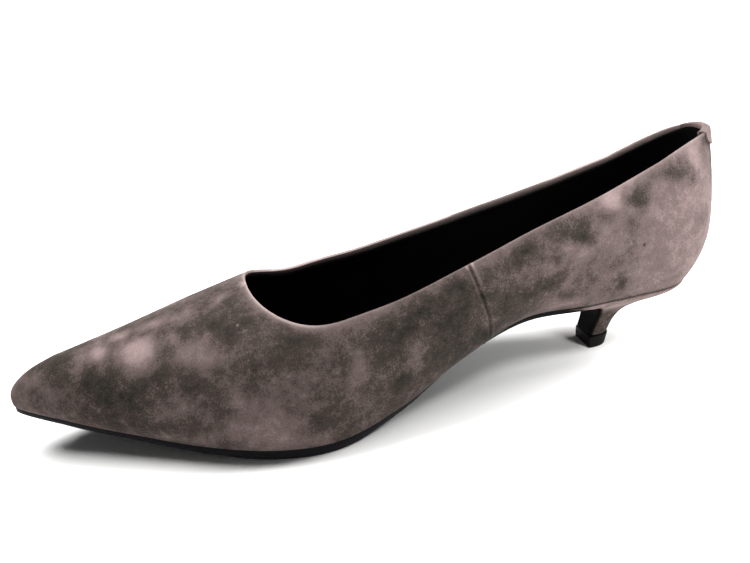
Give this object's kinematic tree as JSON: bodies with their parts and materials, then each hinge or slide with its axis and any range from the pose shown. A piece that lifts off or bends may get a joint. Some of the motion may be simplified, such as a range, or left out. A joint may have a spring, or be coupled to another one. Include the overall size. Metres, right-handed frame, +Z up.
{
  "type": "pump shoe",
  "caption": "Women's pointed-toe suede pump with a low set-in heel, thin black sole and wide collar, for the right foot",
  "frame": {"origin": "Bottom centre of the box around the shoe, on the floor it stands on", "axes": "+X from heel to toe, +Y to the inner side of the foot, +Z up"},
  "size_m": [0.255, 0.0774, 0.0809],
  "materials": {
    "suede": "matte mottled taupe suede",
    "sole": "smooth black with a slight sheen",
    "insole": "smooth black lining leather",
    "heel_suede": "matte taupe suede cover",
    "breast": "matte black",
    "lift": "matte black",
    "tab_suede": "matte taupe suede"
  },
  "bodies": {
    "root": {"upper": "suede", "outsole": "sole", "insole": "insole", "heel": "heel_suede", "heel_breast": "breast", "toplift": "lift", "back_tab": "tab_suede"}
  },
  "joints": []
}
